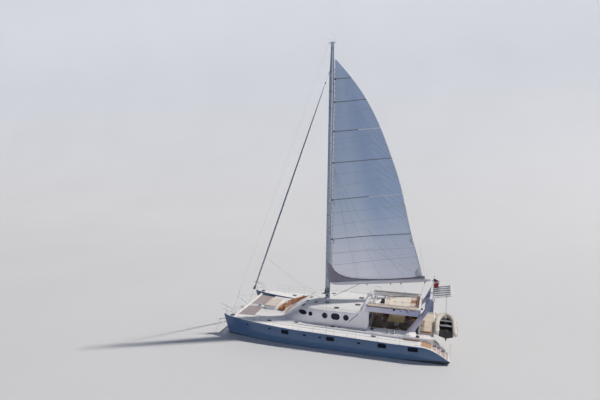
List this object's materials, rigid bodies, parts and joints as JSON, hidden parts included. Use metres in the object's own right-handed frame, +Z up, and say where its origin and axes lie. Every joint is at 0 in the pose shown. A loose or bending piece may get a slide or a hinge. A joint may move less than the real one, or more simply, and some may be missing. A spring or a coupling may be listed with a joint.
{
  "type": "sailing catamaran",
  "caption": "Cruising catamaran under mainsail, with a rounded saloon, hardtop flybridge, stern arch, solar frame and a tender hanging behind it.",
  "frame": {"origin": "on the centreline, amidships, at the waterline", "axes": "+X to the bow, +Y to port, +Z up"},
  "size_m": [26.2908, 11.7, 34.7572],
  "materials": {
    "white_gelcoat": "smooth gelcoat",
    "slate_gelcoat": "smooth blue-grey gelcoat",
    "sailcloth": "woven laminate",
    "grey_cloth": "coated canvas",
    "alloy": "painted light grey, satin",
    "steel": "polished tube and wire",
    "dark_glass": "tinted, smooth",
    "solar_glass": "dark laminated panel",
    "cushion": "beige outdoor cloth",
    "dark_seat": "dark outdoor cloth",
    "teak": "oiled planks",
    "net": "open woven net",
    "tender_fabric": "coated inflatable cloth",
    "black": "satin black",
    "bronze": "bronze, dull"
  },
  "bodies": {
    "boat": {"hull_port": "slate_gelcoat", "hull_starboard": "slate_gelcoat", "bridge_deck": "white_gelcoat", "crossbeam": "white_gelcoat", "walkway": "white_gelcoat", "bowsprit": "alloy", "trampoline_port": "net", "trampoline_starboard": "net", "saloon_shell": "white_gelcoat", "glazing_port": "dark_glass", "glazing_starboard": "dark_glass", "aft_bulkhead": "white_gelcoat", "coaming_port": "white_gelcoat", "coaming_starboard": "white_gelcoat", "aft_backrest": "white_gelcoat", "sofa_port": "dark_seat", "sofa_starboard": "dark_seat", "cockpit_table": "teak", "arch_leg_port": "white_gelcoat", "arch_leg_starboard": "white_gelcoat", "arch_bridge": "white_gelcoat", "tender_frame": "alloy", "solar_panels": "solar_glass", "tender_tube": "tender_fabric", "tender_hull": "black", "tender_outboard": "black", "fall_aft": "steel", "fall_bow": "steel", "hardtop": "white_gelcoat", "sunpad": "cushion", "helm_console": "white_gelcoat", "helm_seat": "dark_seat", "aft_pad": "cushion", "pulpit_port": "steel", "pulpit_starboard": "steel", "lifeline_port": "steel", "lifeline_starboard": "steel", "swim_ladder": "steel", "mast": "alloy", "mast_step": "alloy", "furled_genoa": "grey_cloth", "outer_stay": "steel", "shroud_port": "steel", "shroud_starboard": "steel"},
    "rig_boom": {"boom": "alloy", "sail_bag": "grey_cloth", "mainsail": "sailcloth"},
    "steering_rudder_port": {"rudder_port": "black"},
    "steering_rudder_starboard": {"rudder_starboard": "black"},
    "drive_port": {"propeller_port": "bronze"},
    "drive_starboard": {"propeller_starboard": "bronze"},
    "helm": {"helm_wheel": "steel"},
    "door": {"saloon_door": "dark_glass"},
    "lid_port": {"locker_lid_port": "white_gelcoat"},
    "lid_starboard": {"locker_lid_starboard": "white_gelcoat"}
  },
  "joints": [
    {"name": "boom_swing", "type": "hinge", "parent": "boat", "child": "rig_boom", "pos_m": [0.8123, 0, 5.4918], "axis": [-0.0204, 0, 0.9998], "range_deg": [-80.5, 49.5]},
    {"name": "rudder_port_turn", "type": "hinge", "parent": "boat", "child": "steering_rudder_port", "pos_m": [-10.3, 4.6, -0.66], "axis": [0, 0, 1], "range_deg": [-35, 35]},
    {"name": "rudder_starboard_turn", "type": "hinge", "parent": "boat", "child": "steering_rudder_starboard", "pos_m": [-10.3, -4.6, -0.66], "axis": [0, 0, 1], "range_deg": [-35, 35]},
    {"name": "helm_turn", "type": "hinge", "parent": "boat", "child": "helm", "pos_m": [-4.7, 0.6, 4.48], "axis": [1, 0, 0], "range_deg": [-350, 350]},
    {"name": "propeller_port_spin", "type": "hinge", "parent": "boat", "child": "drive_port", "pos_m": [-8.545, 4.6, -1.2], "axis": [1, 0, 0], "continuous": true},
    {"name": "propeller_starboard_spin", "type": "hinge", "parent": "boat", "child": "drive_starboard", "pos_m": [-8.545, -4.6, -1.2], "axis": [1, 0, 0], "continuous": true},
    {"name": "door_slide", "type": "slide", "parent": "boat", "child": "door", "axis": [0, 1, 0], "range_m": [0, 1.1]},
    {"name": "locker_lid_port_open", "type": "hinge", "parent": "boat", "child": "lid_port", "pos_m": [11.65, 4.6, 2.2045], "axis": [0, 1, 0], "range_deg": [0, 80]},
    {"name": "locker_lid_starboard_open", "type": "hinge", "parent": "boat", "child": "lid_starboard", "pos_m": [11.65, -4.6, 2.2045], "axis": [0, 1, 0], "range_deg": [0, 80]}
  ],
  "couplings": [
    {"joint": "rudder_starboard_turn", "follows": "rudder_port_turn", "ratio": 1},
    {"joint": "helm_turn", "follows": "rudder_port_turn", "ratio": 10}
  ]
}
